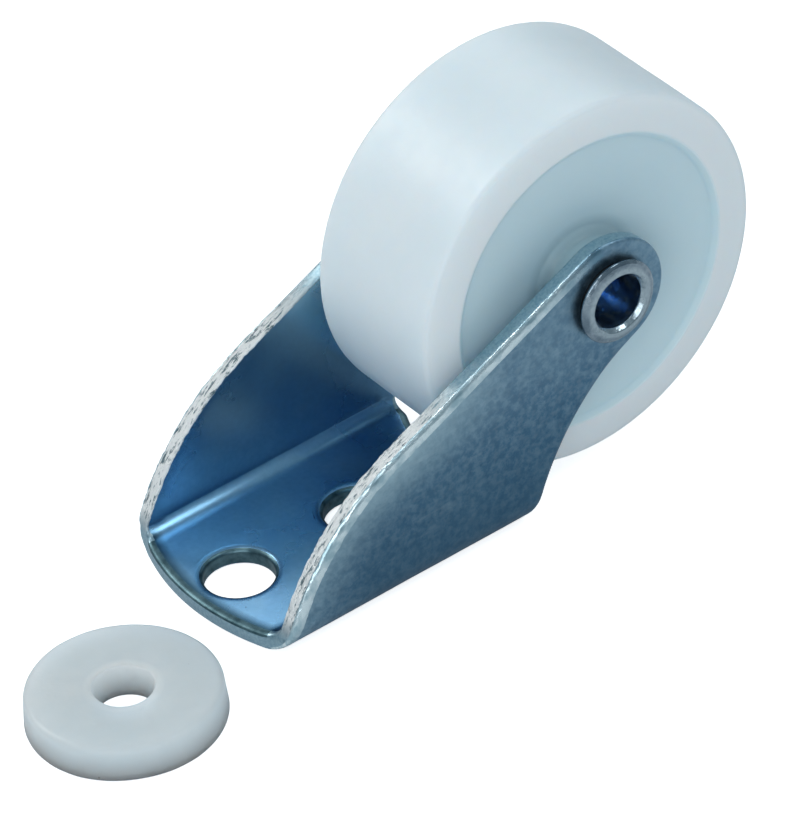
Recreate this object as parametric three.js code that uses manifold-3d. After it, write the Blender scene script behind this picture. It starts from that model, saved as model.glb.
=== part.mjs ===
// Sliding door roller: a pressed steel fork with a nylon wheel on a tubular rivet,
// and the loose nylon washer that comes with it.
// Units are millimetres. X runs from the nose of the fork to its rear, Y across the
// fork, Z up from the plane that the fork is screwed down on.
import * as THREE from 'three';
import Module from 'manifold-3d';
import { mergeVertices } from 'three/addons/utils/BufferGeometryUtils.js';

const wasm = await Module();
wasm.setup();

// ---- driving dimensions -------------------------------------------------------
const SHEET = 1.6; // thickness of the steel strip
const FORK_WIDTH = 22; // over the outside of the cheeks
const INNER_BEND = 1.7; // bend radius inside the channel
const OUTER_BEND = INNER_BEND + SHEET;

const NOSE_X = -11.2; // tip of the rounded nose, from the origin between the screw holes
const NOSE_RADIUS = 24.4; // plan radius of the nose
const FRONT_HOLE = { x: -6.3, radius: 3.1 };
const REAR_HOLE = { x: 6.3, radius: 2.9 };
const WEB_REAR_X = 17.6; // where the straight part of the web ends
const NOTCH_X = 15.8; // deepest point of the notch behind the web
const NOTCH_RADIUS = 17; // plan radius of the notch

const AXLE = { x: 26.8, z: 19.4 };
const EYE_RADIUS = 5.5; // rounded cheek end about the axle
const TOP_SLOPE = THREE.MathUtils.degToRad(24.2); // rise of the straight top edge
const TOP_ARC_RADIUS = 24; // convex front part of the top edge
const TOP_ARC_END_X = 3.3; // where it meets the straight part
const REAR_ARC_RADIUS = 24; // concave rear edge

const RIVET = { radius: 3.2, bore: 2.4, head: 3.95, proud: 1.0 };
const HEAD_GAP = 0.3; // under each rolled head
const CHEEK_HOLE = RIVET.radius + 0.1;

const WHEEL = { radius: 17.5, halfWidth: 7.6, shoulder: 0.4, crown: 0.05 };
const RIM_RADIUS = 14; // each side is a flat ring outside this radius and a shallow cone inside it
const HUB = { radius: 4.1, foot: 4.6, footHalfWidth: 6.2, halfWidth: 8.6 }; // spaces the cheeks
const WHEEL_BORE = RIVET.radius + 0.08;
const WHEEL_Y = -0.5; // the wheel has slid along its axle towards one cheek

const WASHER = { x: -23.5, y: -7.0, topRadius: 8.4, footRadius: 8.6, height: 3.2, bore: 2.6 };

const ARC_STEP = THREE.MathUtils.degToRad(7.5);

// ---- helpers ------------------------------------------------------------------
function toManifold(geometry) {
  const bare = geometry.clone();
  bare.deleteAttribute('normal');
  bare.deleteAttribute('uv');
  const merged = mergeVertices(bare, 1e-4);
  const mesh = new wasm.Mesh({
    numProp: 3,
    vertProperties: Float32Array.from(merged.attributes.position.array),
    triVerts: Uint32Array.from(merged.index.array),
  });
  return new wasm.Manifold(mesh);
}

function fromManifold(solid) {
  const mesh = solid.getMesh();
  const geometry = new THREE.BufferGeometry();
  geometry.setAttribute('position', new THREE.BufferAttribute(mesh.vertProperties, 3));
  geometry.setIndex(new THREE.BufferAttribute(mesh.triVerts, 1));
  return geometry;
}

// Points along an arc of a plane curve, both ends included.
function arc(cx, cy, radius, from, to) {
  const count = Math.max(2, Math.ceil(Math.abs(to - from) / ARC_STEP));
  const points = [];
  for (let i = 0; i <= count; i += 1) {
    const angle = from + ((to - from) * i) / count;
    points.push(new THREE.Vector2(cx + radius * Math.cos(angle), cy + radius * Math.sin(angle)));
  }
  return points;
}

// Solid between two heights, from a closed outline.
function prism(points, low, high) {
  const geometry = new THREE.ExtrudeGeometry(new THREE.Shape(points), {
    depth: high - low,
    bevelEnabled: false,
  });
  geometry.translate(0, 0, low);
  return geometry;
}

// The same, with the outline in X and Z and the solid running along Y.
function prismAcross(points, low, high) {
  const geometry = prism(points, -high, -low);
  geometry.rotateX(Math.PI / 2);
  return geometry;
}

// Solid of revolution about Y from [radius, y] pairs of a closed section.
function turned(section, segments) {
  const points = section.map(([radius, y]) => new THREE.Vector2(radius, y));
  points.push(points[0].clone());
  return new THREE.LatheGeometry(points, segments);
}

function rod(radius, low, high, segments) {
  return turned([[0, low], [radius, low], [radius, high], [0, high]], segments);
}

// ---- fork ---------------------------------------------------------------------
// Cross-section of the bent strip in Y and Z, run along X.
function channel(fromX, toX, height) {
  const half = FORK_WIDTH / 2;
  const bendY = half - OUTER_BEND;
  const quarter = Math.PI / 2;
  const section = [
    ...arc(-bendY, OUTER_BEND, OUTER_BEND, -2 * quarter, -quarter),
    ...arc(bendY, OUTER_BEND, OUTER_BEND, -quarter, 0),
    new THREE.Vector2(half, height),
    new THREE.Vector2(half - SHEET, height),
    ...arc(bendY, OUTER_BEND, INNER_BEND, 0, -quarter),
    ...arc(-bendY, OUTER_BEND, INNER_BEND, -quarter, -2 * quarter),
    new THREE.Vector2(-half + SHEET, height),
    new THREE.Vector2(-half, height),
  ];
  const geometry = prism(section, fromX, toX);
  geometry.rotateZ(Math.PI / 2);
  geometry.rotateY(Math.PI / 2);
  return geometry;
}

// Plan of the web: convex nose in front, notch round the wheel behind.
function webPlan(half, rearX) {
  const noseX = NOSE_X + NOSE_RADIUS;
  const noseSpan = Math.asin(half / NOSE_RADIUS);
  const notchX = NOTCH_X + NOTCH_RADIUS;
  const notchSpan = Math.acos((notchX - WEB_REAR_X) / NOTCH_RADIUS);
  return [
    ...arc(noseX, 0, NOSE_RADIUS, Math.PI - noseSpan, Math.PI + noseSpan),
    new THREE.Vector2(rearX, -half),
    new THREE.Vector2(rearX, -half + OUTER_BEND),
    ...arc(notchX, 0, NOTCH_RADIUS, Math.PI + notchSpan, Math.PI - notchSpan),
    new THREE.Vector2(rearX, half - OUTER_BEND),
    new THREE.Vector2(rearX, half),
  ];
}

// Side view of a cheek: concave rear edge, eye, straight top edge, convex front.
function cheekOutline(frontX, lowZ) {
  const up = new THREE.Vector2(-Math.sin(TOP_SLOPE), Math.cos(TOP_SLOPE));
  const eye = new THREE.Vector2(AXLE.x, AXLE.z);
  const eyeTop = eye.clone().addScaledVector(up, EYE_RADIUS);
  const topEnd = new THREE.Vector2(
    TOP_ARC_END_X,
    eyeTop.y - (eyeTop.x - TOP_ARC_END_X) * Math.tan(TOP_SLOPE),
  );
  const topCentre = topEnd.clone().addScaledVector(up, -TOP_ARC_RADIUS);
  const frontAngle = Math.PI - Math.asin((OUTER_BEND - topCentre.y) / TOP_ARC_RADIUS);

  // The rear arc touches the eye and stands on the rear corner of the web.
  const corner = new THREE.Vector2(WEB_REAR_X, SHEET);
  const apart = eye.distanceTo(corner);
  const reach = EYE_RADIUS + REAR_ARC_RADIUS;
  const along = (reach ** 2 - REAR_ARC_RADIUS ** 2 + apart ** 2) / (2 * apart);
  const aside = Math.sqrt(reach ** 2 - along ** 2);
  const down = corner.clone().sub(eye).normalize();
  const rearCentre = eye.clone()
    .addScaledVector(down, along)
    .addScaledVector(new THREE.Vector2(-down.y, down.x), aside);
  const toEye = Math.atan2(eye.y - rearCentre.y, eye.x - rearCentre.x);
  const toCorner = Math.atan2(corner.y - rearCentre.y, corner.x - rearCentre.x);

  return [
    new THREE.Vector2(frontX, lowZ),
    new THREE.Vector2(WEB_REAR_X, lowZ),
    ...arc(rearCentre.x, rearCentre.y, REAR_ARC_RADIUS, toCorner, toEye).slice(0, -1),
    ...arc(eye.x, eye.y, EYE_RADIUS, toEye - Math.PI, Math.PI / 2 + TOP_SLOPE),
    ...arc(topCentre.x, topCentre.y, TOP_ARC_RADIUS, Math.PI / 2 + TOP_SLOPE, frontAngle),
    new THREE.Vector2(frontX, SHEET + 0.3),
  ];
}

function forkGeometry() {
  const half = FORK_WIDTH / 2;
  const frontX = NOSE_X - 1;
  const rearX = AXLE.x + EYE_RADIUS + 1;
  const topZ = AXLE.z + EYE_RADIUS + 1;
  let fork = toManifold(channel(frontX, rearX, topZ));
  fork = fork.intersect(toManifold(prism(webPlan(half + 0.1, rearX), -1, topZ + 1)));
  fork = fork.intersect(toManifold(prismAcross(cheekOutline(frontX, -1), -half - 1, half + 1)));
  for (const hole of [FRONT_HOLE, REAR_HOLE]) {
    const cutter = rod(hole.radius, -1, SHEET + 1, 32);
    cutter.rotateX(Math.PI / 2);
    cutter.translate(hole.x, 0, 0);
    fork = fork.subtract(toManifold(cutter));
  }
  const axleCutter = rod(CHEEK_HOLE, -half - 1, half + 1, 32);
  axleCutter.translate(AXLE.x, 0, AXLE.z);
  fork = fork.subtract(toManifold(axleCutter));
  return fromManifold(fork);
}

// ---- wheel, rivet, washer -----------------------------------------------------
// Whole section from its upper half, which starts on the middle plane.
function mirrored(half) {
  const lower = half.slice(1).map(([radius, y]) => [radius, -y]).reverse();
  return [...lower, ...half];
}

function wheelGeometry() {
  const { radius, halfWidth, shoulder, crown } = WHEEL;
  const edge = radius - crown;
  const half = [
    [radius, 0],
    [radius - crown * 0.3, halfWidth * 0.5],
    ...arc(edge - shoulder, halfWidth - shoulder, shoulder, 0, Math.PI / 2)
      .filter((point, index) => index % 3 === 0)
      .map((point) => [point.x, point.y]),
    [RIM_RADIUS, halfWidth - 0.1],
    [HUB.foot, HUB.footHalfWidth],
    [HUB.radius, HUB.footHalfWidth + 0.5],
    [HUB.radius, HUB.halfWidth - 0.2],
    [HUB.radius - 0.2, HUB.halfWidth],
    [WHEEL_BORE + 0.2, HUB.halfWidth],
    [WHEEL_BORE, HUB.halfWidth - 0.2],
  ];
  return turned(mirrored(half), 64);
}

// Tube through both cheeks, each end rolled outwards into a rounded lip.
function rivetGeometry() {
  const face = FORK_WIDTH / 2 + HEAD_GAP;
  const lip = RIVET.proud / 2;
  const outer = RIVET.head - lip;
  const half = [
    [RIVET.radius, 0],
    [RIVET.radius, face],
    [outer, face],
    ...arc(outer, face + lip, lip, -Math.PI / 2, Math.PI / 2)
      .filter((point, index) => index > 0 && index % 6 === 0)
      .map((point) => [point.x, point.y]),
    [RIVET.bore + 0.35, face + RIVET.proud],
    [RIVET.bore + 0.08, face + RIVET.proud - 0.3],
    [RIVET.bore, face + RIVET.proud - 0.8],
  ];
  return turned(mirrored(half), 32);
}

function washerGeometry() {
  const { topRadius, footRadius, height, bore } = WASHER;
  const round = 0.6;
  const section = [
    [bore, 0],
    [footRadius - 0.2, 0],
    [footRadius, 0.2],
    ...arc(topRadius - round, height - round, round, 0, Math.PI / 2)
      .filter((point, index) => index % 4 === 0)
      .map((point) => [point.x, point.y]),
    [bore + 0.3, height],
    [bore, height - 0.3],
  ];
  const geometry = turned(section, 48);
  geometry.rotateX(Math.PI / 2);
  return geometry;
}

// ---- assembly -----------------------------------------------------------------
const zinc = new THREE.MeshStandardMaterial({ color: 0x7f93a3, metalness: 1.0, roughness: 0.32 });
const rivetSteel = new THREE.MeshStandardMaterial({ color: 0x6f7f8c, metalness: 1.0, roughness: 0.28 });
const nylon = new THREE.MeshStandardMaterial({ color: 0xdde5ea, metalness: 0.0, roughness: 0.38 });
const washerNylon = new THREE.MeshStandardMaterial({ color: 0xd9e1e8, metalness: 0.0, roughness: 0.42 });

function node(name, geometry, material, x, y, z) {
  const mesh = new THREE.Mesh(geometry, material);
  mesh.name = name;
  mesh.position.set(x, y, z);
  return mesh;
}

const roller = new THREE.Group();
roller.name = 'sliding_door_roller';
roller.add(node('fork', forkGeometry(), zinc, 0, 0, 0));
roller.add(node('axle_rivet', rivetGeometry(), rivetSteel, AXLE.x, 0, AXLE.z));
roller.add(node('wheel', wheelGeometry(), nylon, AXLE.x, WHEEL_Y, AXLE.z));
roller.add(node('nylon_washer', washerGeometry(), washerNylon, WASHER.x, WASHER.y, 0));

export default roller;
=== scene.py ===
# Sliding door roller: a zinc-plated steel fork, its nylon wheel on a rolled tubular rivet, and a
# loose nylon washer. Lengths are millimetres, except where a comment says metres.
import math

import bpy
from mathutils import Matrix, Vector, noise
from mathutils.geometry import delaunay_2d_cdt


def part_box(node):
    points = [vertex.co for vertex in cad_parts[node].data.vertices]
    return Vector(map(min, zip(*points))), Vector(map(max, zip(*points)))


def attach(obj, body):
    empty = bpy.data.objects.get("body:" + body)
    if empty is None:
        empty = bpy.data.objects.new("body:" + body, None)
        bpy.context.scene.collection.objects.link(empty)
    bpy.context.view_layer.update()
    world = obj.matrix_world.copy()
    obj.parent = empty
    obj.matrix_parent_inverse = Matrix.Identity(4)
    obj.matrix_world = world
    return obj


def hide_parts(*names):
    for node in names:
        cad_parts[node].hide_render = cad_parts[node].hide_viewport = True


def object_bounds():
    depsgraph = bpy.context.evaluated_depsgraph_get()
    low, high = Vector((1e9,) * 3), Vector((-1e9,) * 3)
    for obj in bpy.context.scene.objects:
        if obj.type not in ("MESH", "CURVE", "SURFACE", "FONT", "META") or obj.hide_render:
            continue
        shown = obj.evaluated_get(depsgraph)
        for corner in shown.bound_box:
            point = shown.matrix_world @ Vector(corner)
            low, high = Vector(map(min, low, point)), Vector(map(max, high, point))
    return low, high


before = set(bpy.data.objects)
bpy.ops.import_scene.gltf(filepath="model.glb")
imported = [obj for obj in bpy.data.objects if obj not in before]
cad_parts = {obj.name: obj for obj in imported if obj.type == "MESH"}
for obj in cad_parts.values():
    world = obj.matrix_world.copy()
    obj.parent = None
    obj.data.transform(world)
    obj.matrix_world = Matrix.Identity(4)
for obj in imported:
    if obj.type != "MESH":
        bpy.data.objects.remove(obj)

MM = 0.001
CAD_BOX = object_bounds()


def box_mm(node):
    low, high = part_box(node)
    return low / MM, high / MM


fork_low, fork_high = box_mm("fork")
rivet_low, rivet_high = box_mm("axle_rivet")
wheel_low, wheel_high = box_mm("wheel")
washer_low, washer_high = box_mm("nylon_washer")

# ---- sizes -------------------------------------------------------------------------------------
AXLE = (rivet_low + rivet_high) / 2
EYE = Vector((AXLE.x, AXLE.z))  # the axle on a cheek, in x and z
AXLE_LINE = (AXLE.x, None, AXLE.z)
HALF_WIDTH = fork_high.y
SHEET = 1.6
INNER_BEND = 1.7
OUTER_BEND = INNER_BEND + SHEET
NEUTRAL = (INNER_BEND + OUTER_BEND) / 2  # bend radius at the middle of the sheet
BEND_START = HALF_WIDTH - OUTER_BEND  # where the flat web ends, on the flat blank
BEND_END = BEND_START + NEUTRAL * math.pi / 2  # where the flat cheek begins

# Inside the channel the bend ends in a crease, below the flat of the cheek.
CREASE_SHARE = 0.76  # of the way round the bend
CREASE_Z = 2.5
CREASE_PULL = 1.1  # how far the curve keeps level before it climbs to the crease

NOSE_X = fork_low.x
NOSE_RADIUS = 24.4
WEB_REAR_X = 17.6
WEB_REAR_Z = 1.6
WEB_CORNER_REACH = 0.5  # how much of each edge a softened corner takes
NOTCH_X = 15.8
NOTCH_RADIUS = 17.0
NOTCH_CORNER_REACH = 0.4
CORNER_CLEAR = 0.1  # between a softened corner and the next point of an arc
FRONT_HOLE = (-6.3, 3.1)  # x and radius
REAR_HOLE = (6.3, 2.9)
EYE_RADIUS = fork_high.x - AXLE.x
TOP_SLOPE = math.radians(24.2)
TOP_ARC_RADIUS = 24.0
TOP_ARC_END_X = 3.3
REAR_ARC_RADIUS = 24.0
AXLE_HOLE_RADIUS = 3.3

# How a cut edge is rounded: (width, depth) at the upper face, which is inside the channel, then
# (width, depth) at the lower face, and how far in from the edge the flat faces begin.
SCREW_RIM = ((0.72, 0.45), (0.2, 0.2), 0.88)
AXLE_RIM = ((0.25, 0.25), (0.25, 0.25), 0.7)
WEB_RIM = ((0.68, 0.32), (0.3, 0.3), 0.82)
CHEEK_RIM = ((0.16, 0.16), (0.95, 0.42), 1.12)

# The shears roll the outer edge of each cheek over, and tear the front of it.
ROLL_END_X = 29.0
ROLL_FADE = 4.0  # length over which the roll dies out
TEAR_START = 3.0  # length up the bend over which the tear grows
TEAR_END_X = 9.0
TEAR_FADE = 5.0
# (waves per millimetre along the sheet, the same through it, layer of the noise, height)
TEAR_WAVES = ((1.1, 1.4, 0.0, 0.10), (3.1, 2.6, 5.0, 0.11))

# The pressed sheet is a little out of flat: (wavelength, layer of the noise, height).
SHEET_WAVES = ((9.0, 3.1, 0.035), (3.2, 7.7, 0.008))

RIVET_RADIUS = 3.2
RIVET_BORE = 2.4
RIVET_HEAD = (rivet_high.x - rivet_low.x) / 2
RIVET_END = rivet_high.y
RIVET_LIP = HALF_WIDTH + 0.55  # underside of the rolled lip, which stands off the cheek
WHEEL_RADIUS = (wheel_high.x - wheel_low.x) / 2
WHEEL_Y = (wheel_low.y + wheel_high.y) / 2
WHEEL_HALF = 7.6  # half the width of the tread
RIM_RADIUS = 14.0  # outside it each side is a ring, inside it a shallow cone
HUB_RADIUS = 4.1
HUB_FOOT = 0.8  # how much the hub's radius grows where it meets the cone
CONE_FOOT_Y = 6.25
HUB_NECK_Y = 6.8
HUB_HALF = (wheel_high.y - wheel_low.y) / 2
WHEEL_BORE = 3.28
WASHER_CENTRE = (washer_low + washer_high) / 2
WASHER_FOOT = (washer_high.x - washer_low.x) / 2
WASHER_TOP = 8.4
WASHER_HEIGHT = washer_high.z - washer_low.z
WASHER_BORE = 2.6

# The turned pieces are a little uneven, in slow waves and fine ones.
SLOW_LENGTH = 7.0
FINE_LENGTH = 1.6
FINE_SHARE = 0.25

EDGE_STEP = 0.28  # spacing of points along a cut edge
HOLE_STEP = EDGE_STEP * 0.9
SURFACE_STEP = 0.9  # spacing of points over the flat sheet
BEND_STEP = 0.3  # spacing across a bend
BEND_BEFORE = 0.8  # how far before and after the bend that spacing reaches
BEND_AFTER = 0.5
CREASE_HOLD = 0.06  # between the crease and the rows that hold it
CREASE_CLEAR = 0.13  # no other row lies nearer to the crease
RIM_CLEAR = 0.3  # between the faces' points and the ends of the rims
EDGE_CLEAR = 1.4  # and between them and the cut edge
MERGE_DISTANCE = 1e-5
HOLE_SHARE = 0.9  # share of a hole's rim inside which a triangle lies across the hole
ROUND_STEPS = 5  # steps round each rounded edge
WALL_SHARES = (0.33, 0.67)  # rows of points down the cut wall
SHORTEST = 1e-9  # stands in for a length of nothing
CORNER_STEPS = 6  # steps round a softened corner
FILLET_HOLD = 0.12  # between a fillet and the points that hold it
FILLET_LIMIT = 0.48  # share of a side that one fillet may take

# ---- mesh helpers ------------------------------------------------------------------------------


def make_object(name, points, faces, materials, face_materials):
    mesh = bpy.data.meshes.new(name)
    mesh.from_pydata([Vector(p) * MM for p in points], [], faces)
    for material in materials:
        mesh.materials.append(material)
    mesh.polygons.foreach_set("material_index", face_materials)
    mesh.polygons.foreach_set("use_smooth", [True] * len(mesh.polygons))
    mesh.update()
    obj = bpy.data.objects.new(name, mesh)
    bpy.context.scene.collection.objects.link(obj)
    return obj


def clamped(value):
    return min(max(value, 0), 1)


def eased(share):
    return share * share * (3 - 2 * share)


def arc(centre, radius, start, end):
    count = max(2, math.ceil(abs(end - start) * radius / EDGE_STEP))
    angles = [start + (end - start) * i / count for i in range(count + 1)]
    cx, cy = centre
    return [Vector((cx + radius * math.cos(a), cy + radius * math.sin(a))) for a in angles]


def curve(start, pull, end, t):
    """The point at share t of the quadratic curve from start to end that bends towards pull."""
    return start * (1 - t) ** 2 + pull * (2 * t * (1 - t)) + end * t**2


def softened(before, corner, after, reach, steps=CORNER_STEPS):
    """The curve that replaces a corner, from reach before it to reach after it."""
    start = corner + (before - corner).normalized() * reach
    end = corner + (after - corner).normalized() * reach
    return [curve(start, corner, end, k / steps) for k in range(steps + 1)]


def filleted(corners, steps):
    """A closed outline from (point, fillet radius) pairs."""
    outline = []
    count = len(corners)
    for i, (point, radius) in enumerate(corners):
        corner = Vector(point)
        if radius <= 0:
            outline.append(corner)
            continue
        before, after = Vector(corners[i - 1][0]), Vector(corners[(i + 1) % count][0])
        half_angle = (before - corner).angle(after - corner) / 2
        side = min((before - corner).length, (after - corner).length)
        reach = min(radius / math.tan(half_angle), side * FILLET_LIMIT)
        outline += softened(before, corner, after, reach, steps)
    return outline


def held(outline, longest):
    """The same closed outline with extra points near the ends of each long straight stretch."""
    result = []
    for i, point in enumerate(outline):
        following = outline[(i + 1) % len(outline)]
        span = (following - point).length
        result.append(point)
        if span < 4 * FILLET_HOLD:
            continue
        between = span - 2 * FILLET_HOLD
        inner = max(1, math.ceil(between / longest))
        for k in range(inner + 1):
            along = FILLET_HOLD + between * k / inner
            result.append(point.lerp(following, along / span))
    return result


def turned(name, section, axis, centre, materials, segments, unevenness, seed, finish=None):
    """A ring turned from a closed [radius, height] section about an axis along Y or Z.

    finish(radius, height) gives the number of the material that shows there."""
    points = []
    for i in range(segments):
        angle = 2 * math.pi * i / segments
        for radius, height in section:
            place = Vector((math.cos(angle) * radius, math.sin(angle) * radius, height))
            slow = noise.noise(place / SLOW_LENGTH + Vector((seed, 0, 0))) * unevenness
            fine = noise.noise(place / FINE_LENGTH + Vector((0, seed, 0))) * unevenness * FINE_SHARE
            place *= 1 + (slow + fine) / max(radius, 1)
            if axis == "Y":
                place = Vector((place.x, place.z, -place.y))
            points.append(centre + place)
    count = len(section)
    faces, face_materials = [], []
    for i in range(segments):
        here, there = i * count, (i + 1) % segments * count
        for j in range(count):
            k = (j + 1) % count
            faces.append((here + j, there + j, there + k, here + k))
            middle = (section[j] + section[k]) / 2
            face_materials.append(finish(middle.x, middle.y) if finish else 0)
    return make_object(name, points, faces, materials, face_materials)


# ---- fork --------------------------------------------------------------------------------------
# The strip is laid out flat as (x, v, w): x along the fork, v across the flat blank, w through the
# sheet from the underside at -SHEET / 2. folded() then bends both cheeks up.


def folded(x, v, w):
    side = 1 if v >= 0 else -1
    v = abs(v)
    if v <= BEND_START:
        return Vector((x, side * v, SHEET / 2 + w))
    if v >= BEND_END:
        return Vector((x, side * (HALF_WIDTH - SHEET / 2 - w), OUTER_BEND + v - BEND_END))
    turn = (v - BEND_START) / NEUTRAL
    outer = Vector((OUTER_BEND * math.sin(turn), OUTER_BEND * (1 - math.cos(turn))))
    along = turn / (math.pi / 2) / CREASE_SHARE
    if along < 1:
        level, lifted = Vector((0.0, SHEET)), Vector((INNER_BEND, CREASE_Z))
        inner = curve(level, Vector((CREASE_PULL, SHEET)), lifted, along)
    else:
        rise = (along - 1) / (1 / CREASE_SHARE - 1)
        inner = Vector((INNER_BEND, CREASE_Z + (OUTER_BEND - CREASE_Z) * rise))
    spot = outer.lerp(inner, w / SHEET + 0.5)
    return Vector((x, side * (BEND_START + spot.x), spot.y))


def blank_v(z):
    """Where a height on the cheek lies on the flat blank."""
    if z >= OUTER_BEND:
        return BEND_END + z - OUTER_BEND
    return BEND_START + NEUTRAL * math.acos((OUTER_BEND - z) / NEUTRAL)


def on_blank(points):
    return [Vector((p.x, blank_v(p.y))) for p in points]


def cheek_arc_centre():
    """The centre, in x and z, of the arc up the front of each cheek."""
    up = Vector((-math.sin(TOP_SLOPE), math.cos(TOP_SLOPE)))
    eye_top = EYE + up * EYE_RADIUS
    rise = (eye_top.x - TOP_ARC_END_X) * math.tan(TOP_SLOPE)
    return Vector((TOP_ARC_END_X, eye_top.y - rise)) - up * TOP_ARC_RADIUS


CHEEK_CENTRE = cheek_arc_centre()


def nose_edge():
    """The plan arc on the web, easing through the bend into the cheek's front arc."""
    points = []
    count = round(BEND_END / EDGE_STEP)
    for i in range(count + 1):
        v = BEND_END * i / count
        turn = min(max((v - BEND_START) / NEUTRAL, 0), math.pi / 2)
        y = min(v, BEND_START) + NEUTRAL * math.sin(turn)
        z = OUTER_BEND - NEUTRAL * math.cos(turn)
        plan_x = NOSE_X + NOSE_RADIUS - math.sqrt(NOSE_RADIUS**2 - y**2)
        cheek_x = CHEEK_CENTRE.x - math.sqrt(TOP_ARC_RADIUS**2 - (z - CHEEK_CENTRE.y) ** 2)
        share = eased(turn / (math.pi / 2))
        points.append(Vector((plan_x + (cheek_x - plan_x) * share, v)))
    return points


def rear_arc_centre(corner):
    """The centre of the rear arc, which touches the eye and stands on the web's rear corner."""
    apart = (corner - EYE).length
    reach = EYE_RADIUS + REAR_ARC_RADIUS
    along = (reach**2 - REAR_ARC_RADIUS**2 + apart**2) / (2 * apart)
    aside = math.sqrt(reach**2 - along**2)
    down = (corner - EYE).normalized()
    return EYE + down * along + Vector((-down.y, down.x)) * aside


def half_outline():
    """One half of the blank's outline, from the tip of the nose to the middle of the notch."""
    front = math.pi - math.asin((OUTER_BEND - CHEEK_CENTRE.y) / TOP_ARC_RADIUS)
    top = math.pi / 2 + TOP_SLOPE
    points = nose_edge()
    points += on_blank(arc(CHEEK_CENTRE, TOP_ARC_RADIUS, front, top))[1:]

    # Round the eye and down the rear arc.
    corner = Vector((WEB_REAR_X, WEB_REAR_Z))
    rear = rear_arc_centre(corner)
    to_eye = math.atan2(EYE.y - rear.y, EYE.x - rear.x)
    to_corner = math.atan2(corner.y - rear.y, corner.x - rear.x)
    points += on_blank(arc(EYE, EYE_RADIUS, top, to_eye - math.pi))
    rear_arc = on_blank(arc(rear, REAR_ARC_RADIUS, to_eye, to_corner))

    # Rear corner, the short straight edge beside the notch, and the notch.
    blank_corner = rear_arc[-1]
    notch_centre = NOTCH_X + NOTCH_RADIUS
    span = math.acos((notch_centre - WEB_REAR_X) / NOTCH_RADIUS)
    notch = arc((notch_centre, 0), NOTCH_RADIUS, math.pi - span, math.pi)
    notch_corner, further_in = notch[0], notch[5]
    web_clear = WEB_CORNER_REACH + CORNER_CLEAR
    notch_clear = NOTCH_CORNER_REACH + CORNER_CLEAR
    points += [p for p in rear_arc[1:] if (p - blank_corner).length > web_clear]
    points += softened(points[-1], blank_corner, notch_corner, WEB_CORNER_REACH)
    points += softened(blank_corner, notch_corner, further_in, NOTCH_CORNER_REACH)
    points += [p for p in notch if (p - notch_corner).length > notch_clear]
    return points


def resampled(loop):
    """The same closed loop with evenly spaced points."""
    lengths = [0.0]
    for i, point in enumerate(loop):
        lengths.append(lengths[-1] + (loop[(i + 1) % len(loop)] - point).length)
    count = round(lengths[-1] / EDGE_STEP)
    result = []
    segment = 0
    for i in range(count):
        target = lengths[-1] * i / count
        while lengths[segment + 1] < target:
            segment += 1
        stretch = max(lengths[segment + 1] - lengths[segment], SHORTEST)
        share = (target - lengths[segment]) / stretch
        result.append(loop[segment].lerp(loop[(segment + 1) % len(loop)], share))
    return result


def circle_loop(x, v, radius):
    count = round(2 * math.pi * radius / HOLE_STEP)
    angles = [2 * math.pi * i / count for i in range(count)]
    return [Vector((x + radius * math.cos(a), v + radius * math.sin(a))) for a in angles]


def into_material(loop):
    """Unit normals that point into the sheet, which lies on the right of the loop."""
    count = len(loop)
    normals = []
    for i in range(count):
        along = loop[(i + 2) % count] - loop[i - 2]
        normals.append(Vector((along.y, -along.x)).normalized())
    return normals


def rim_profile(top, bottom, hold):
    """(distance in from the edge, w) pairs from the upper face round the edge to the lower one.

    top and bottom are the (width, depth) of the rounding at each face."""
    half = SHEET / 2
    turns = [math.pi / 2 * k / ROUND_STEPS for k in range(ROUND_STEPS + 1)]
    wall = SHEET - top[1] - bottom[1]
    profile = [(hold, half)]
    profile += [(top[0] * (1 - math.sin(a)), half - top[1] * (1 - math.cos(a))) for a in turns]
    profile += [(0.0, half - top[1] - wall * share) for share in WALL_SHARES]
    for a in turns:
        profile.append((bottom[0] * (1 - math.cos(a)), bottom[1] * (1 - math.sin(a)) - half))
    profile.append((hold, -half))
    return profile


def sheet_wave(x, v):
    """How far the pressed sheet is out of flat."""
    total = 0.0
    for length, layer, height in SHEET_WAVES:
        total += height * noise.noise(Vector((x / length, v / length, layer)))
    return total


def shear_bite(x, v, w):
    """The torn edge that the shears leave along the front of each cheek."""
    strength = clamped((v - BEND_START) / TEAR_START) * clamped((TEAR_END_X - x) / TEAR_FADE)
    if strength == 0:
        return 0.0
    total = 0.0
    for along, through, layer, height in TEAR_WAVES:
        total += height * noise.noise(Vector((x * along, v * along, w * through + layer)))
    return strength * total


def sheared_share(place):
    """1 along the front and top of a cheek, where the shears roll the outer edge over, else 0."""
    up = clamped((abs(place.y) - BEND_START) / (BEND_END - BEND_START))
    front = clamped((ROLL_END_X - place.x) / ROLL_FADE)
    return eased(up) * eased(front)


# The fork's finishes, and where they change on the bands of a rim, counted from the upper face.
INSIDE, OUTSIDE, CUT_EDGE, ROLLED, PAINTED_SHADE_WALL = range(5)
PAINTED_SHADE_BAND = 3  # first band down a hole with painted shade
WALL_BAND = ROUND_STEPS + 1  # first band of the straight wall
LAST_WALL_BAND = WALL_BAND + len(WALL_SHARES)
CHEEK_EDGE_V = BEND_START + 1  # the edge counts as the cheek's from here, early in the bend
FACES_FRONT = 0.1  # least x of the inward normal along an edge that faces the front


def hole_finish(band):
    if band < PAINTED_SHADE_BAND:
        return INSIDE
    # The half of the rounding nearer the wall, and the wall, take the painted shade.
    return PAINTED_SHADE_WALL if band <= LAST_WALL_BAND else OUTSIDE


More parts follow.
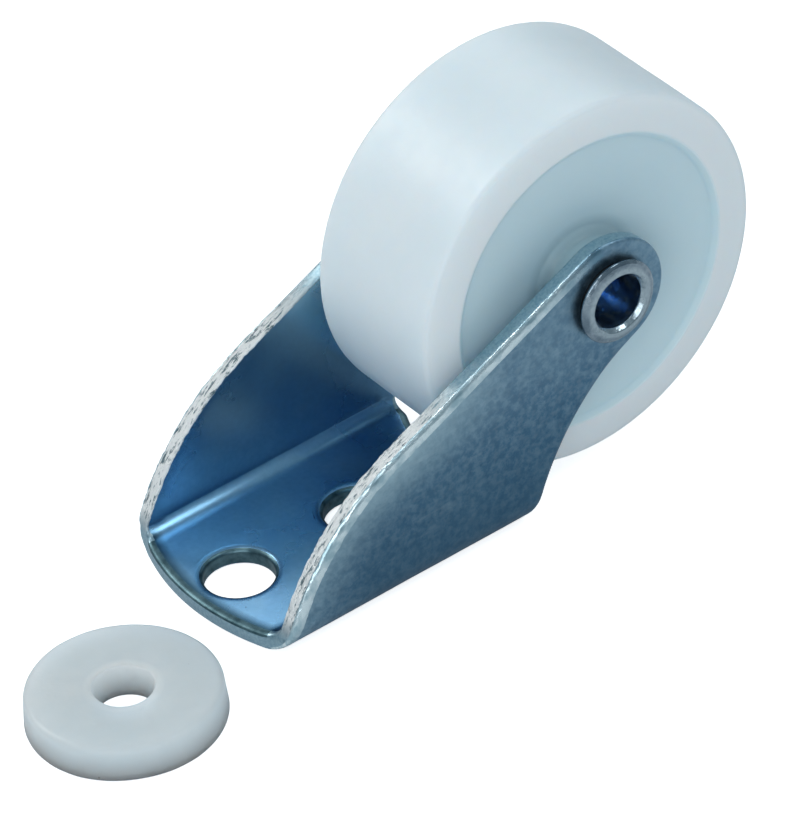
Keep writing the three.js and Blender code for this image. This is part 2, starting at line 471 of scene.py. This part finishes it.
def outline_finish(band, place, inward):
    on_cheek = abs(place.y) > CHEEK_EDGE_V
    if band == 0:
        return INSIDE
    # On the web the upper rounding takes the painted shade.
    if band < WALL_BAND:
        return CUT_EDGE if on_cheek else PAINTED_SHADE_WALL
    if band <= LAST_WALL_BAND:
        return CUT_EDGE
    rounded = band <= LAST_WALL_BAND + ROUND_STEPS
    return ROLLED if rounded and on_cheek and inward.x > FACES_FRONT else OUTSIDE


class BentSheet:
    """The fork's mesh, built beside the flat blank that it is folded from."""

    def __init__(self):
        self.points, self.faces, self.finishes = [], [], []
        self.flat, self.rim_lines = [], []  # points on the blank, and the lines its rims follow
        self.upper, self.lower = [], []  # each flat point's number on the two faces

    def add_rim(self, loop, profile, cheek_profile=None):
        """Add the rounded rim along a closed loop on the blank.

        Where the shears roll the edge over, cheek_profile takes the place of profile."""
        normals = into_material(loop)
        count = len(loop)
        start = len(self.points)
        last_ring = start + (len(profile) - 1) * count
        first = len(self.flat)
        for ring, (distance, w) in enumerate(profile):
            on_face = ring in (0, len(profile) - 1)
            for place, normal in zip(loop, normals):
                inset, depth = distance, w
                if cheek_profile:
                    share = sheared_share(place)
                    inset += (cheek_profile[ring][0] - inset) * share
                    depth += (cheek_profile[ring][1] - depth) * share
                    if not on_face:
                        inset = max(inset + shear_bite(place.x, abs(place.y), depth), 0.0)
                spot = place + normal * inset
                self.points.append(folded(spot.x, spot.y, depth + sheet_wave(spot.x, spot.y)))
                if ring == 0:
                    self.flat.append(spot)
        for band in range(len(profile) - 1):
            here = start + band * count
            there = here + count
            for i in range(count):
                k = (i + 1) % count
                self.faces.append((here + i, here + k, there + k, there + i))
                if cheek_profile:
                    self.finishes.append(outline_finish(band, loop[i], normals[i]))
                else:
                    self.finishes.append(hole_finish(band))
        for i in range(count):
            self.rim_lines.append((first + i, first + (i + 1) % count))
            self.upper.append(start + i)
            self.lower.append(last_ring + i)

    def add_face_point(self, p):
        """Add a point of the blank on both faces."""
        shift = sheet_wave(p.x, p.y)
        self.flat.append(p)
        for numbers, w in ((self.upper, SHEET / 2), (self.lower, -SHEET / 2)):
            numbers.append(len(self.points))
            self.points.append(folded(p.x, p.y, w + shift))

    def fill(self, holes):
        """Cover both faces with triangles, except across the holes."""
        inside_only = 1
        result = delaunay_2d_cdt(self.flat, self.rim_lines, [], inside_only, MERGE_DISTANCE)
        flat_out, triangles, origins = result[0], result[2], result[3]
        number = [o[0] for o in origins]
        for triangle in triangles:
            middle = sum((flat_out[i] for i in triangle), Vector((0, 0))) / 3
            if in_hole(middle, holes, HOLE_SHARE):
                continue
            a, b, c = (number[i] for i in triangle)
            self.faces.append((self.upper[a], self.upper[b], self.upper[c]))
            self.faces.append((self.lower[a], self.lower[c], self.lower[b]))
            self.finishes += [INSIDE, OUTSIDE]


def in_hole(p, holes, rim_share=1.0):
    """Whether p lies in a hole or on that share of its rim. Holes are (x, v, radius, profile)."""
    for x, v, radius, profile in holes:
        if (p - Vector((x, v))).length < radius + profile[0][0] * rim_share:
            return True
    return False


def in_loop(p, loop):
    """Whether p lies inside a closed loop, from the number of its edges that p sees along x."""
    crossings = 0
    for i, a in enumerate(loop):
        b = loop[i - 1]
        if (a.y > p.y) != (b.y > p.y):
            if p.x < a.x + (b.x - a.x) * (p.y - a.y) / (b.y - a.y):
                crossings += 1
    return crossings % 2 == 1


def clear_of(p, points, distance):
    return all((p - q).length >= distance for q in points)


def face_rows():
    """The rows of points across the blank, closer together over the bends and at the creases."""
    rows = []
    top_v = blank_v(AXLE.z + EYE_RADIUS)
    v = 0.0
    while v < top_v:
        rows.append(v)
        near_bend = BEND_START - BEND_BEFORE < v < BEND_END + BEND_AFTER
        v += BEND_STEP if near_bend else SURFACE_STEP
    crease = BEND_START + CREASE_SHARE * (BEND_END - BEND_START)
    rows = [r for r in rows if abs(r - crease) > CREASE_CLEAR]
    rows = sorted(rows + [crease - CREASE_HOLD, crease, crease + CREASE_HOLD])
    return [-r for r in reversed(rows[1:])] + rows


def make_fork(finishes):
    half = half_outline()
    other = [Vector((p.x, -p.y)) for p in reversed(half[1:-1])]
    outline = resampled(half + other)
    axle_v = blank_v(AXLE.z)
    screw_rim, axle_rim = rim_profile(*SCREW_RIM), rim_profile(*AXLE_RIM)
    holes = [
        (FRONT_HOLE[0], 0.0, FRONT_HOLE[1], screw_rim),
        (REAR_HOLE[0], 0.0, REAR_HOLE[1], screw_rim),
        (AXLE.x, axle_v, AXLE_HOLE_RADIUS, axle_rim),
        (AXLE.x, -axle_v, AXLE_HOLE_RADIUS, axle_rim),
    ]
    sheet = BentSheet()
    sheet.add_rim(outline, rim_profile(*WEB_RIM), rim_profile(*CHEEK_RIM))
    for x, v, radius, profile in holes:
        sheet.add_rim(circle_loop(x, v, radius), profile)

    rims = list(sheet.flat)
    columns = math.ceil((fork_high.x - NOSE_X) / SURFACE_STEP)
    for row in face_rows():
        for column in range(columns + 1):
            p = Vector((NOSE_X + column * SURFACE_STEP, row))
            if in_hole(p, holes) or not in_loop(p, outline):
                continue
            if clear_of(p, rims, RIM_CLEAR) and clear_of(p, outline, EDGE_CLEAR):
                sheet.add_face_point(p)
    sheet.fill(holes)
    return make_object("fork_steel", sheet.points, sheet.faces, finishes, sheet.finishes)


# ---- wheel, rivet, washer ----------------------------------------------------------------------
# Each section lists its corners as ((radius, distance along the axis), fillet radius).


def both_ends(half):
    """A closed section from its upper half, listed from the outside in."""
    return [((r, -h), f) for (r, h), f in reversed(half)] + half


def make_wheel(material):
    half = [
        ((WHEEL_RADIUS - 0.01, WHEEL_HALF * 0.5), 2.0),
        ((WHEEL_RADIUS - 0.04, WHEEL_HALF - 0.3), 0.5),
        ((RIM_RADIUS, WHEEL_HALF + 0.05), 0.22),
        ((RIM_RADIUS - 0.5, WHEEL_HALF - 0.4), 0.5),
        ((HUB_RADIUS + HUB_FOOT, CONE_FOOT_Y), 0.5),
        ((HUB_RADIUS, HUB_NECK_Y), 0.5),
        ((HUB_RADIUS, HUB_HALF), 0.3),
        ((WHEEL_BORE, HUB_HALF), 0.3),
    ]
    section = held(filleted(both_ends(half), steps=7), longest=0.9)
    centre = Vector((AXLE.x, WHEEL_Y, AXLE.z))
    detail = {"segments": 192, "unevenness": 0.03, "seed": 11}
    return turned("roller_wheel", section, "Y", centre, [material], **detail)


def make_rivet(steel, bore, gap_shade):
    neck_start = HALF_WIDTH - 1.0
    half = [
        ((RIVET_RADIUS, neck_start), 0.0),
        ((RIVET_RADIUS, RIVET_LIP), 0.12),
        ((RIVET_HEAD - 0.12, RIVET_LIP), 0.12),
        ((RIVET_HEAD, RIVET_LIP + 0.24), 0.2),
        ((RIVET_HEAD - 0.30, RIVET_LIP + 0.48), 0.25),
        ((RIVET_BORE + 0.80, RIVET_END - 0.12), 0.3),
        ((RIVET_BORE + 0.45, RIVET_END), 0.35),
        ((RIVET_BORE + 0.10, RIVET_END - 0.45), 0.4),
        ((RIVET_BORE + 0.02, RIVET_END - 1.2), 0.6),
        ((RIVET_BORE, RIVET_END - 3.0), 0.0),
    ]
    section = held(filleted(both_ends(half), steps=9), longest=1.0)
    centre = Vector((AXLE.x, 0, AXLE.z))
    materials = [steel, bore, gap_shade]
    bore_radius, bore_end = RIVET_BORE + 0.1, RIVET_END - 0.6  # the bore flares out beyond these
    # Painted shade covers the neck and the underside of the lip.
    gap_start, gap_end = neck_start - 0.1, RIVET_LIP + 0.08

    def finish(radius, height):
        if radius < bore_radius and abs(height) < bore_end:
            return materials.index(bore)
        return materials.index(gap_shade if gap_start < abs(height) < gap_end else steel)

    detail = {"segments": 128, "unevenness": 0.04, "seed": 23, "finish": finish}
    return turned("rivet_steel_tube", section, "Y", centre, materials, **detail)


def make_washer(material):
    corners = [
        ((WASHER_BORE, 0.0), 0.15),
        ((WASHER_FOOT, 0.0), 0.25),
        ((WASHER_TOP, WASHER_HEIGHT), 0.75),
        ((WASHER_BORE, WASHER_HEIGHT), 0.2),
    ]
    section = held(filleted(corners, steps=10), longest=0.9)
    centre = Vector((WASHER_CENTRE.x, WASHER_CENTRE.y, washer_low.z))
    detail = {"segments": 160, "unevenness": 0.06, "seed": 37}
    return turned("washer_nylon_ring", section, "Z", centre, [material], **detail)


# ---- materials ---------------------------------------------------------------------------------


class Nodes:
    """A short way to write a node tree."""

    def __init__(self, name):
        self.material = bpy.data.materials.new(name)
        self.material.use_nodes = True
        self.tree = self.material.node_tree
        self.tree.nodes.clear()
        output = self.tree.nodes.new("ShaderNodeOutputMaterial")
        self.shader = self.tree.nodes.new("ShaderNodeBsdfPrincipled")
        self.link(self.shader.outputs[0], output.inputs["Surface"])
        self.place = self.add("ShaderNodeTexCoord").outputs["Object"]

    def link(self, source, target):
        self.tree.links.new(source, target)

    def add(self, kind, values=(), **settings):
        node = self.tree.nodes.new(kind)
        for key, value in settings.items():
            setattr(node, key, value)
        for key, value in dict(values).items():
            if isinstance(value, bpy.types.NodeSocket):
                self.link(value, node.inputs[key])
            else:
                node.inputs[key].default_value = value
        return node

    def noise(self, size, detail, stretch=None, roughness=0.55, offset=0.0):
        """Noise with features of about that many millimetres."""
        place = self.place
        if stretch or offset:
            mapping = self.add("ShaderNodeMapping", {"Vector": place})
            mapping.inputs["Scale"].default_value = stretch or (1, 1, 1)
            mapping.inputs["Location"].default_value = (offset, offset * 0.7, offset * 1.3)
            place = mapping.outputs[0]
        values = {"Vector": place, "Scale": 1 / (size * MM), "Detail": detail}
        values["Roughness"] = roughness
        return self.add("ShaderNodeTexNoise", values).outputs["Fac"]

    def span(self, value, low, high, to_low=0.0, to_high=1.0):
        """Carry a value from one range to another, and keep it inside the second."""
        values = {"Value": value, "From Min": low, "From Max": high}
        values.update({"To Min": to_low, "To Max": to_high})
        return self.add("ShaderNodeMapRange", values).outputs[0]

    def along(self, axis, low, high, to_low=0.0, to_high=1.0):
        """A value that changes along an axis, between two places in millimetres."""
        where = self.add("ShaderNodeSeparateXYZ", {"Vector": self.place}).outputs[axis]
        return self.span(where, low * MM, high * MM, to_low, to_high)

    def around(self, centre, low, high):
        """0 at one distance from a centre and 1 at another, in millimetres.

        The centre is (x, y, z), or a line along the axis that is given as None."""
        mask = [0.0 if c is None else 1.0 for c in centre]
        point = [(c or 0.0) * MM for c in centre]
        flat = self.add("ShaderNodeVectorMath", {0: self.place, 1: mask}, operation="MULTIPLY")
        values = {0: flat.outputs[0], 1: point}
        away = self.add("ShaderNodeVectorMath", values, operation="DISTANCE").outputs["Value"]
        return self.span(away, low * MM, high * MM)

    def math(self, operation, a, b):
        return self.add("ShaderNodeMath", {0: a, 1: b}, operation=operation).outputs[0]

    def times(self, a, b):
        return self.math("MULTIPLY", a, b)

    def blend(self, share, a, b):
        """Colour a with that share of colour b laid over it."""
        node = self.add("ShaderNodeMix", data_type="RGBA")
        for key, value in (("Factor_Float", share), ("A_Color", a), ("B_Color", b)):
            socket = next(s for s in node.inputs if s.identifier == key)
            if isinstance(value, bpy.types.NodeSocket):
                self.link(value, socket)
            else:
                socket.default_value = (*value, 1.0)
        return next(s for s in node.outputs if s.identifier == "Result_Color")

    def specks(self, size, radius, keep):
        """Small round spots: 1 at a spot and 0 elsewhere, on about that share of the cells."""
        values = {"Vector": self.place, "Scale": 1 / (size * MM), "Randomness": 1.0}
        cells = self.add("ShaderNodeTexVoronoi", values)
        spot = self.span(cells.outputs["Distance"], radius, radius * 0.6)
        return self.times(spot, self.math("LESS_THAN", cells.outputs["Color"], keep))

    def surface(self, tone, roughness, metallic, relief, depth):
        """Set the shader, with a bump of that depth in millimetres, and return the material."""
        values = {"Height": relief, "Distance": depth * MM, "Strength": 1.0}
        normal = self.add("ShaderNodeBump", values).outputs[0]
        self.link(tone, self.shader.inputs["Base Color"])
        self.link(roughness, self.shader.inputs["Roughness"])
        self.link(normal, self.shader.inputs["Normal"])
        if isinstance(metallic, bpy.types.NodeSocket):
            self.link(metallic, self.shader.inputs["Metallic"])
        else:
            self.shader.inputs["Metallic"].default_value = metallic
        return self.material


def zinc_inside():
    """The smooth side of the strip: deep blue plating with faint clouds, painted light high on the
    cheeks and a painted shade along the nose.
    """
    n = Nodes("zinc_inside")
    clouds = n.noise(9.0, 4.0)
    patches = n.noise(4.2, 3.0, offset=0.4)
    grain = n.noise(0.5, 3.0, offset=0.9)
    tone = n.blend(n.span(clouds, 0.36, 0.64), (0.21, 0.41, 0.63), (0.25, 0.47, 0.65))
    tone = n.blend(n.span(patches, 0.50, 0.72, 0.0, 0.35), tone, (0.32, 0.52, 0.66))
    tone = n.blend(n.span(grain, 0.35, 0.7, 0.0, 0.16), tone, (0.12, 0.22, 0.36))
    # Painted light: the tone is lighter higher up the cheeks.
    tone = n.blend(n.along("Z", 5.0, 17.0, 0.0, 0.75), tone, (0.46, 0.72, 0.84))

    # Painted shade: a dark band follows the nose, on the web only, just inside its rounded rim.
    nose_centre = (NOSE_X + NOSE_RADIUS, 0.0, None)
    band = n.times(n.around(nose_centre, NOSE_RADIUS - 1.6, NOSE_RADIUS - 0.8), 0.85)
    band = n.times(band, n.along("Z", 2.3, 1.8))
    tone = n.blend(band, tone, (0.02, 0.06, 0.09))
    tone = n.blend(n.times(n.specks(2.2, 0.07, 0.2), 0.6), tone, (0.05, 0.09, 0.14))
    roughness = n.span(clouds, 0.35, 0.65, 0.24, 0.34)
    relief = n.math("ADD", n.times(patches, 0.5), n.times(grain, 0.05))
    return n.surface(tone, roughness, 1.0, relief, 0.10)


def zinc_outside():
    """The dull side of the strip: frosted grey-blue plating, with painted light brighter towards
    the cut edges.
    """
    n = Nodes("zinc_outside")
    clouds = n.noise(8.0, 4.0, offset=0.3)
    frost = n.noise(1.0, 5.0, roughness=0.7, offset=0.4)
    grain = n.noise(0.6, 2.0, roughness=0.5, offset=0.9)
    rub = n.span(n.noise(0.9, 2.0, stretch=(0.22, 1.0, 0.8), offset=0.6), 0.66, 0.74)
    tone = n.blend(n.span(clouds, 0.34, 0.66), (0.09, 0.205, 0.325), (0.145, 0.275, 0.385))
    tone = n.blend(n.span(frost, 0.48, 0.66, 0.0, 0.65), tone, (0.33, 0.49, 0.60))
    tone = n.blend(n.span(frost, 0.48, 0.34, 0.0, 0.65), tone, (0.08, 0.16, 0.25))
    tone = n.blend(n.span(grain, 0.44, 0.66, 0.0, 0.34), tone, (0.36, 0.50, 0.58))
    tone = n.blend(n.times(rub, 0.2), tone, (0.56, 0.70, 0.76))
    tone = n.blend(n.times(n.specks(1.5, 0.13, 0.22), 0.6), tone, (0.66, 0.80, 0.86))

    # Painted shade darkens the cheeks low down, and painted light lightens them higher up and near
    # their front edges.
    height = n.along("Z", 4.0, 17.0)
    low = n.times(n.span(height, 0.0, 1.0, 1.0, 0.0), n.along("X", -8.0, 0.0))
    tone = n.blend(n.times(low, 0.65), tone, (0.045, 0.125, 0.20))
    tone = n.blend(n.span(height, 0.5, 1.0, 0.0, 0.3), tone, (0.34, 0.48, 0.56))
    # Painted light: a pale band just inside the front arc of each cheek.
    front_centre = (CHEEK_CENTRE.x, None, CHEEK_CENTRE.y)
    rim = n.math("POWER", n.around(front_centre, TOP_ARC_RADIUS - 5.5, TOP_ARC_RADIUS), 1.4)
    rim = n.times(rim, n.along("X", 5.0, 16.0, 1.0, 0.0))
    rim = n.times(rim, n.along("Z", 4.0, 13.0, 0.3, 1.0))
    rim = n.times(rim, n.span(frost, 0.3, 0.7, 0.7, 1.0))
    tone = n.blend(rim, tone, (0.56, 0.74, 0.79))
    roughness = n.span(frost, 0.3, 0.7, 0.36, 0.52)
    relief = n.math("ADD", n.times(frost, 0.35), n.times(grain, 0.22))
    return n.surface(tone, roughness, 1.0, relief, 0.14)


def zinc_edge():
    """Cut edge: clean plated metal, torn bright by the shears along the front of the cheeks, with
    painted shade in the cracks of the tear.
    """
    n = Nodes("zinc_cut_edge")
    tear = n.noise(0.7, 4.0, stretch=(0.6, 2.4, 0.6), roughness=0.7)
    fleck = n.noise(0.25, 2.0, offset=0.3)
    torn = n.times(n.along("X", 6.0, 11.0, 1.0, 0.0), n.along("Z", 1.8, 3.6))
    bright = n.times(n.span(tear, 0.38, 0.47), torn)
    plate = n.blend(n.span(fleck, 0.35, 0.65), (0.26, 0.40, 0.48), (0.38, 0.52, 0.58))
    # Painted shade: the torn zone is dark in its cracks, between the bright flakes.
    crack_shade = n.blend(torn, plate, (0.12, 0.19, 0.22))
    tone = n.blend(bright, crack_shade, (1.0, 1.0, 0.98))
    roughness = n.span(tear, 0.3, 0.7, 0.28, 0.42)
    metallic = n.span(bright, 0.0, 1.0, 1.0, 0.4)
    relief = n.math("ADD", tear, n.times(fleck, 0.35))
    relief = n.times(relief, n.span(torn, 0.0, 1.0, 0.06, 1.0))
    return n.surface(tone, roughness, metallic, relief, 0.32)


def zinc_rolled():
    """The outer rim of the cut edge, burnished bright where the shears rolled it over."""
    n = Nodes("zinc_rolled_rim")
    streak = n.noise(0.8, 3.0, stretch=(0.5, 2.0, 0.5))
    tone = n.blend(n.span(streak, 0.36, 0.62), (0.40, 0.56, 0.62), (0.80, 0.91, 0.93))
    tone = n.blend(n.along("X", 20.0, 25.5), tone, (0.17, 0.30, 0.39))
    return n.surface(tone, n.span(streak, 0.3, 0.7, 0.34, 0.24), 1.0, streak, 0.10)


def zinc_painted_shade_wall():
    """Painted shade: a dark tone down the holes and over the upper rim of the web."""
    n = Nodes("zinc_hole_wall_painted_shade")
    clouds = n.noise(1.2, 3.0, offset=0.2)
    tone = n.blend(n.span(clouds, 0.35, 0.65), (0.05, 0.10, 0.12), (0.13, 0.22, 0.25))
    n.link(tone, n.shader.inputs["Base Color"])
    n.shader.inputs["Metallic"].default_value = 1.0
    n.shader.inputs["Roughness"].default_value = 0.4
    return n.material


def rivet_steel():
    """Bright plating on the tube and its rolled lip, with a painted highlight round the mouth of
    the bore.
    """
    n = Nodes("rivet_plate")
    clouds = n.noise(1.8, 3.0)
    grain = n.noise(0.25, 3.0, offset=0.5)
    tone = n.blend(n.span(clouds, 0.35, 0.65), (0.20, 0.26, 0.31), (0.38, 0.45, 0.50))
    # Painted highlight on the inner curve of the lip, round the mouth of the bore.
    tone = n.blend(n.around(AXLE_LINE, 3.45, 3.15), tone, (0.46, 0.54, 0.58))
    tone = n.blend(n.span(grain, 0.42, 0.62, 0.0, 0.25), tone, (0.10, 0.14, 0.18))
    roughness = n.span(clouds, 0.3, 0.7, 0.16, 0.30)
    relief = n.math("ADD", clouds, n.times(grain, 0.12))
    return n.surface(tone, roughness, 1.0, relief, 0.12)


def rivet_bore():
    """Inside the tube the plating is a deep, glossy blue, with painted glints."""
    n = Nodes("rivet_bore_plate")
    clouds = n.noise(1.6, 3.0, offset=0.8)
    painted_glints = n.noise(0.9, 2.0, offset=0.5)
    tone = n.blend(n.span(clouds, 0.35, 0.65), (0.36, 0.56, 0.86), (0.62, 0.82, 1.0))
    # Painted glints: white spots on the blue.
    tone = n.blend(n.span(painted_glints, 0.56, 0.62), tone, (0.95, 1.0, 1.0))
    return n.surface(tone, n.span(clouds, 0.3, 0.7, 0.14, 0.26), 1.0, clouds, 0.05)


def rivet_gap_shade():
    """Painted shade on the neck and underside of the rolled lip, where the lip stands off the
    cheek.
    """
    n = Nodes("rivet_gap_painted_shade")
    clouds = n.noise(0.8, 3.0, offset=0.1)
    tone = n.blend(clouds, (0.010, 0.016, 0.022), (0.035, 0.050, 0.062))
    return n.surface(tone, n.span(clouds, 0.3, 0.7, 0.45, 0.7), 0.0, clouds, 0.05)


def nylon(name, light, shade, grain_size, depth, painted_zones):
    """Natural nylon that light enters to about that depth in millimetres.

    Each zone is a patch of painted light and shade, given as (centre, inner radius, outer radius,
    strength, colour): the colour has that strength inside the inner radius and is gone at the outer
    one."""
    n = Nodes(name)
    clouds = n.noise(11.0, 3.0)
    mottle = n.noise(1.5, 4.0, offset=0.7)
    grain = n.noise(grain_size, 2.0, offset=0.2)
    tone = n.blend(n.span(clouds, 0.3, 0.7), shade, light)
    tone = n.blend(n.span(mottle, 0.42, 0.75, 0.0, 0.25), tone, shade)
    for centre, inner, outer, strength, colour in painted_zones:
        tone = n.blend(n.times(n.around(centre, outer, inner), strength), tone, colour)
    tone = n.blend(n.times(n.specks(4.5, 0.035, 0.35), 0.55), tone, (0.20, 0.24, 0.28))
    n.shader.inputs["IOR"].default_value = 1.53
    n.shader.inputs["Subsurface Weight"].default_value = 1.0
    n.shader.inputs["Subsurface Radius"].default_value = (0.85, 1.0, 1.1)
    n.shader.inputs["Subsurface Scale"].default_value = depth * MM
    relief = n.math("ADD", mottle, n.times(grain, 0.5))
    return n.surface(tone, n.span(mottle, 0.3, 0.7, 0.34, 0.46), 0.0, relief, 0.018)


# ---- pieces ------------------------------------------------------------------------------------

fork = make_fork([zinc_inside(), zinc_outside(), zinc_edge(), zinc_rolled(), zinc_painted_shade_wall()])
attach(fork, "fork_body")
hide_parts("fork")

rivet = make_rivet(rivet_steel(), rivet_bore(), rivet_gap_shade())
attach(rivet, "fork_body")
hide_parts("axle_rivet")

# Painted light and shade: the sides are painted whiter than the tread, the cone inside the rim
# darker, where the rim shades it, and the hub darker still, in the cheek's shade.
wheel_painted_zones = [
    (AXLE_LINE, 16.9, 17.4, 0.75, (0.92, 0.96, 0.96)),
    (AXLE_LINE, 13.9, 14.2, 1.0, (0.70, 0.835, 0.87)),
    (AXLE_LINE, 4.5, 13.5, 0.75, (0.58, 0.73, 0.78)),
    (AXLE_LINE, 4.4, 6.0, 0.8, (0.36, 0.50, 0.55)),
]
wheel_light, wheel_shade = (0.85, 0.90, 0.92), (0.79, 0.86, 0.89)
wheel = make_wheel(nylon("wheel_nylon_mat", wheel_light, wheel_shade, 0.5, 2.0, wheel_painted_zones))
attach(wheel, "wheel_body")
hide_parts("wheel")

# The washer lets light in deeper, and painted light makes it palest down its hole.
washer_line = (WASHER_CENTRE.x, WASHER_CENTRE.y, None)
washer_painted_zones = [(washer_line, WASHER_BORE + 0.1, WASHER_BORE + 0.9, 1.0, (0.82, 0.94, 1.0))]
washer_light, washer_shade = (0.72, 0.84, 0.92), (0.62, 0.75, 0.85)
clear_nylon = nylon("washer_nylon_mat", washer_light, washer_shade, 0.35, 14.0, washer_painted_zones)
washer = make_washer(clear_nylon)
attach(washer, "washer_body")
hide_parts("nylon_washer")

# ---- studio ------------------------------------------------------------------------------------

# The camera and the lights look at AIM.
AIM = Vector((11.75, 0.0, 9.57))
VIEW_AZIMUTH = math.radians(-34.57)
VIEW_ELEVATION = math.radians(37.71)
VIEW_ROLL = math.radians(-5.5)
VIEW_DISTANCE = 762.8
LENS = 398.0
SENSOR = 36.0
CLIP_NEAR, CLIP_FAR = 0.01, 20.0  # metres
FLOOR_HALF = 4.0  # metres
FLOOR_DROP = 0.05  # below the lowest point of the parts
FLOOR_GLOW = 0.75
ROOM_LIGHT = 0.36


def make_camera():
    level = math.cos(VIEW_ELEVATION)
    x, y = math.sin(VIEW_AZIMUTH) * level, -math.cos(VIEW_AZIMUTH) * level
    back = Vector((x, y, math.sin(VIEW_ELEVATION)))
    data = bpy.data.cameras.new("camera")
    data.lens = LENS
    data.sensor_width = SENSOR
    data.clip_start = CLIP_NEAR
    data.clip_end = CLIP_FAR
    camera = bpy.data.objects.new("camera", data)
    turn = back.to_track_quat("Z", "Y") @ Matrix.Rotation(VIEW_ROLL, 4, "Z").to_quaternion()
    camera.rotation_euler = turn.to_euler()
    camera.location = (AIM + back * VIEW_DISTANCE) * MM
    bpy.context.scene.collection.objects.link(camera)
    bpy.context.scene.camera = camera


def softbox(name, direction, distance, size, power, colour):
    """A rectangular light that looks at AIM, with its distance and size in metres."""
    data = bpy.data.lights.new(name, "AREA")
    data.shape = "RECTANGLE"
    data.size, data.size_y = size
    data.energy = power
    data.color = colour
    light = bpy.data.objects.new(name, data)
    toward = Vector(direction).normalized()
    light.location = AIM * MM + toward * distance
    light.rotation_euler = toward.to_track_quat("Z", "Y").to_euler()
    bpy.context.scene.collection.objects.link(light)


def add_shader(tree, kind, **values):
    node = tree.nodes.new(kind)
    for key, value in values.items():
        node.inputs[key].default_value = value
    return node


def show_camera(tree, seen, lit, output):
    """Show one shader to the camera and light the parts with the other."""
    choose = tree.nodes.new("ShaderNodeMixShader")
    rays = tree.nodes.new("ShaderNodeLightPath")
    tree.links.new(rays.outputs["Is Camera Ray"], choose.inputs[0])
    tree.links.new(lit.outputs[0], choose.inputs[1])
    tree.links.new(seen.outputs[0], choose.inputs[2])
    tree.links.new(choose.outputs[0], output.inputs["Surface"])


def make_floor():
    half = FLOOR_HALF
    mesh = bpy.data.meshes.new("floor")
    z = CAD_BOX[0][2] - FLOOR_DROP * MM
    corners = [(-half, -half, z), (half, -half, z), (half, half, z), (-half, half, z)]
    mesh.from_pydata(corners, [], [(0, 1, 2, 3)])
    material = bpy.data.materials.new("floor_paper")
    material.use_nodes = True
    tree = material.node_tree
    tree.nodes.clear()
    output = tree.nodes.new("ShaderNodeOutputMaterial")
    paper = add_shader(tree, "ShaderNodeBsdfDiffuse", Color=(0.74, 0.76, 0.78, 1))
    white = add_shader(tree, "ShaderNodeBsdfDiffuse", Color=(0.9, 0.9, 0.9, 1))
    glow = add_shader(tree, "ShaderNodeEmission", Strength=FLOOR_GLOW)
    seen = tree.nodes.new("ShaderNodeAddShader")
    tree.links.new(white.outputs[0], seen.inputs[0])
    tree.links.new(glow.outputs[0], seen.inputs[1])
    show_camera(tree, seen, paper, output)
    mesh.materials.append(material)
    floor = bpy.data.objects.new("floor", mesh)
    bpy.context.scene.collection.objects.link(floor)


def make_world():
    world = bpy.data.worlds.new("studio")
    bpy.context.scene.world = world
    world.use_nodes = True
    tree = world.node_tree
    tree.nodes.clear()
    output = tree.nodes.new("ShaderNodeOutputWorld")
    blue = (0.62, 0.80, 0.92, 1)
    room = add_shader(tree, "ShaderNodeBackground", Color=blue, Strength=ROOM_LIGHT)
    white = add_shader(tree, "ShaderNodeBackground", Color=(1, 1, 1, 1))
    show_camera(tree, white, room, output)


make_camera()
make_floor()
make_world()
softbox("key", (-0.353, 0.66, 0.66), 0.7, (0.34, 0.24), 1.35, (1.0, 0.97, 0.93))
softbox("back", (0.50, 0.66, 0.56), 0.8, (0.40, 0.35), 0.6, (0.90, 0.97, 1.0))
softbox("top", (-0.22, 0.0, 1.0), 0.8, (0.20, 0.14), 0.6, (0.96, 0.99, 1.0))
softbox("front", (0.45, -0.42, 0.78), 0.8, (0.25, 0.25), 0.9, (0.92, 0.98, 1.0))
softbox("fill", (-0.60, -0.62, 0.46), 0.9, (0.70, 0.55), 2.6, (0.94, 0.97, 1.0))
bpy.context.scene.view_settings.view_transform = "Standard"
